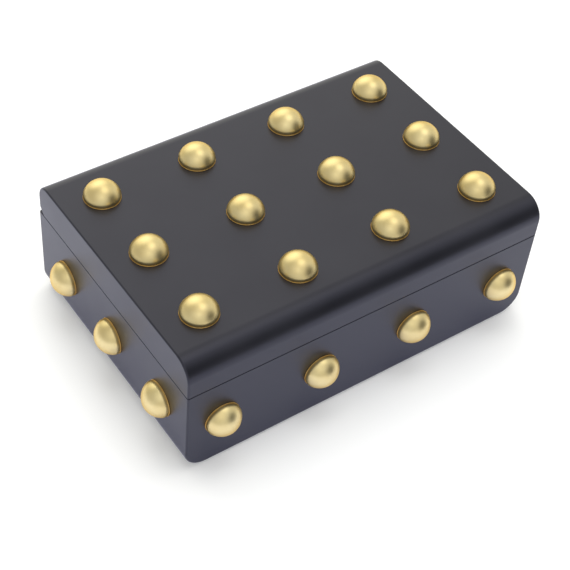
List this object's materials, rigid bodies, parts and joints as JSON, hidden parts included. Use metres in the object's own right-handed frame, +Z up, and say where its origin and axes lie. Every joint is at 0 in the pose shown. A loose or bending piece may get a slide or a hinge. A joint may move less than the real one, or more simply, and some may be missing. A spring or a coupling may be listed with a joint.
{
  "type": "trinket box",
  "caption": "Low rectangular lacquered box with a hinged lid, a grid of domed brass studs on the lid and a row of them on each side, and a cloth lining.",
  "frame": {"origin": "centre of the box's footprint on the surface that its felt feet stand on", "axes": "+X along the box's length to its right, +Y towards the hinged back, +Z up through the lid"},
  "size_m": [0.2754, 0.1954, 0.1027],
  "materials": {
    "charcoal_lacquer": "satin charcoal lacquer",
    "polished_brass": "polished pale brass",
    "hinge_brass": "satin brass",
    "lining_cloth": "dark velvet",
    "grey_felt": "pressed felt"
  },
  "bodies": {
    "base": {"base_bottom_panel": "charcoal_lacquer", "base_front_wall": "charcoal_lacquer", "base_back_wall": "charcoal_lacquer", "base_left_wall": "charcoal_lacquer", "base_right_wall": "charcoal_lacquer", "base_front_studs": "polished_brass", "base_back_studs": "polished_brass", "base_left_studs": "polished_brass", "base_right_studs": "polished_brass", "base_floor_pad": "lining_cloth", "base_front_liner": "lining_cloth", "base_back_liner": "lining_cloth", "base_left_liner": "lining_cloth", "base_right_liner": "lining_cloth", "left_hinge_base_leaf": "hinge_brass", "right_hinge_base_leaf": "hinge_brass", "left_hinge_pin": "hinge_brass", "right_hinge_pin": "hinge_brass", "base_hinge_screws": "hinge_brass", "felt_feet": "grey_felt"},
    "lid": {"lid_top_panel": "charcoal_lacquer", "lid_front_rail": "charcoal_lacquer", "lid_back_rail": "charcoal_lacquer", "lid_left_rail": "charcoal_lacquer", "lid_right_rail": "charcoal_lacquer", "lid_studs": "polished_brass", "lid_pad": "lining_cloth", "left_hinge_lid_leaf": "hinge_brass", "right_hinge_lid_leaf": "hinge_brass", "lid_hinge_screws": "hinge_brass"}
  },
  "joints": [
    {"name": "lid_hinge", "type": "hinge", "parent": "base", "child": "lid", "pos_m": [0, 0.08425, 0.067], "axis": [-1, 0, 0], "range_deg": [0, 100]}
  ]
}
